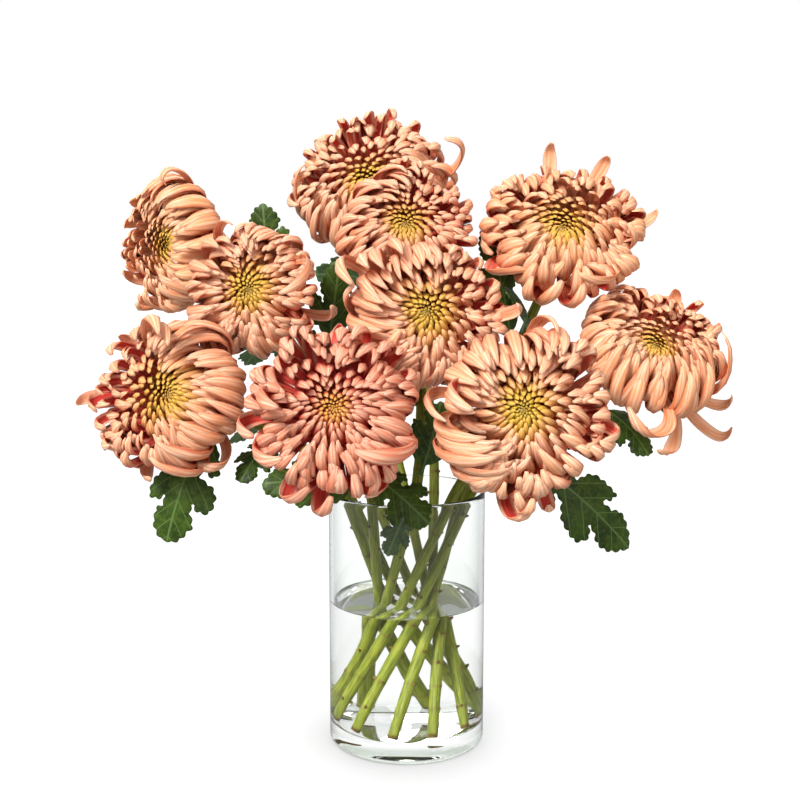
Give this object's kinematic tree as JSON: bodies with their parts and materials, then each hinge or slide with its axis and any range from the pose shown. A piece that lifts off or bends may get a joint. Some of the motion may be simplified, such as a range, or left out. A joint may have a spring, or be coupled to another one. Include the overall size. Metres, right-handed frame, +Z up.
{
  "type": "cut flower bouquet in vase, vienna copper chrysanthemum",
  "caption": "Bouquet of vienna copper chrysanthemums with incurved copper petals and golden hearts, standing in a clear glass cylinder vase of water.",
  "frame": {"origin": "centre of the vase's foot, on the surface that it stands on", "axes": "+Z up along the vase's axis, -Y towards the side that the bouquet shows, +X to the right seen from there"},
  "size_m": [0.3983, 0.2709, 0.408],
  "materials": {
    "copper_petal": "satin",
    "golden_heart": "satin",
    "green_stem": "satin",
    "leaf": "satin",
    "clear_glass": "gloss",
    "clear_water": "gloss"
  },
  "bodies": {
    "root": {"bloom_01": "copper_petal", "bloom_02": "copper_petal", "bloom_03": "copper_petal", "bloom_04": "copper_petal", "bloom_05": "copper_petal", "bloom_06": "copper_petal", "bloom_07": "copper_petal", "bloom_08": "copper_petal", "bloom_09": "copper_petal", "bloom_10": "copper_petal", "heart_01": "golden_heart", "heart_02": "golden_heart", "heart_03": "golden_heart", "heart_04": "golden_heart", "heart_05": "golden_heart", "heart_06": "golden_heart", "heart_07": "golden_heart", "heart_08": "golden_heart", "heart_09": "golden_heart", "heart_10": "golden_heart", "stem_01": "green_stem", "stem_02": "green_stem", "stem_03": "green_stem", "stem_04": "green_stem", "stem_05": "green_stem", "stem_06": "green_stem", "stem_07": "green_stem", "stem_08": "green_stem", "stem_09": "green_stem", "stem_10": "green_stem", "leaf_01": "leaf", "leaf_02": "leaf", "leaf_03": "leaf", "leaf_04": "leaf", "leaf_05": "leaf", "leaf_06": "leaf", "leaf_07": "leaf", "leaf_08": "leaf", "leaf_09": "leaf", "leaf_10": "leaf", "leaf_11": "leaf", "leaf_12": "leaf", "leaf_13": "leaf", "leaf_14": "leaf", "leaf_15": "leaf", "leaf_16": "leaf", "leaf_17": "leaf", "leaf_18": "leaf", "leaf_19": "leaf", "leaf_20": "leaf", "leaf_21": "leaf", "leaf_22": "leaf", "vase": "clear_glass", "water": "clear_water"}
  },
  "joints": []
}
